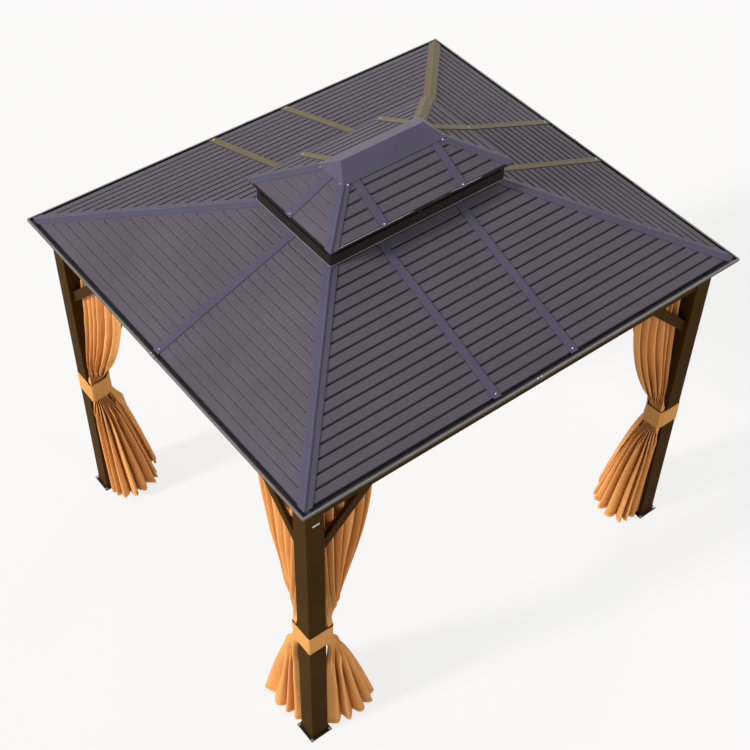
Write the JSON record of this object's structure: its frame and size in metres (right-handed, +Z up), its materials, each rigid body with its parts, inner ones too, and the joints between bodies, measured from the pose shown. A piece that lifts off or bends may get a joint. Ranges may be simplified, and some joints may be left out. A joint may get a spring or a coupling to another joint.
{
  "type": "metal gazebo",
  "caption": "Open metal gazebo with square posts, knee braces, a vented two-tier ribbed hip roof, gutters and tied-back curtains.",
  "frame": {"origin": "on the ground under the middle of the roof", "axes": "+X along the long side, +Y to the back, +Z up"},
  "size_m": [3.05, 2.708, 3.0413],
  "materials": {
    "frame_paint": "powder coated, satin brown",
    "plate_steel": "powder coated, dark",
    "gutter_metal": "painted grey",
    "roof_sheet": "painted, satin grey-violet",
    "roof_trim": "painted, satin grey-violet",
    "dark_trim": "painted, dark",
    "curtain_cloth": "woven polyester",
    "strap_cloth": "woven polyester"
  },
  "bodies": {
    "root": {"post_front_left": "frame_paint", "post_front_right": "frame_paint", "post_back_left": "frame_paint", "post_back_right": "frame_paint", "base_plates": "plate_steel", "beam_front": "frame_paint", "beam_back": "frame_paint", "beam_left": "frame_paint", "beam_right": "frame_paint", "knee_braces": "frame_paint", "curtain_rails": "frame_paint", "eave_plates": "frame_paint", "gutter_front": "gutter_metal", "gutter_back": "gutter_metal", "gutter_left": "gutter_metal", "gutter_right": "gutter_metal", "hip_rafters": "frame_paint", "seam_rafters": "frame_paint", "lower_panels_front": "roof_sheet", "lower_panels_back": "roof_sheet", "lower_panels_left": "roof_sheet", "lower_panels_right": "roof_sheet", "lower_hip_caps": "roof_trim", "lower_seam_caps": "roof_trim", "vent_frame": "dark_trim", "upper_frame": "frame_paint", "upper_rafters": "frame_paint", "ridge_beam": "frame_paint", "upper_panels": "roof_sheet", "upper_eave_trim": "dark_trim", "upper_hip_caps": "roof_trim", "upper_seam_caps": "roof_trim", "ridge_cap": "roof_trim", "curtain_front_left_x": "curtain_cloth", "curtain_front_left_y": "curtain_cloth", "curtain_front_right_x": "curtain_cloth", "curtain_front_right_y": "curtain_cloth", "curtain_back_left_x": "curtain_cloth", "curtain_back_left_y": "curtain_cloth", "curtain_back_right_x": "curtain_cloth", "curtain_back_right_y": "curtain_cloth", "strap_front_left": "strap_cloth", "strap_front_right": "strap_cloth", "strap_back_left": "strap_cloth", "strap_back_right": "strap_cloth"}
  },
  "joints": []
}
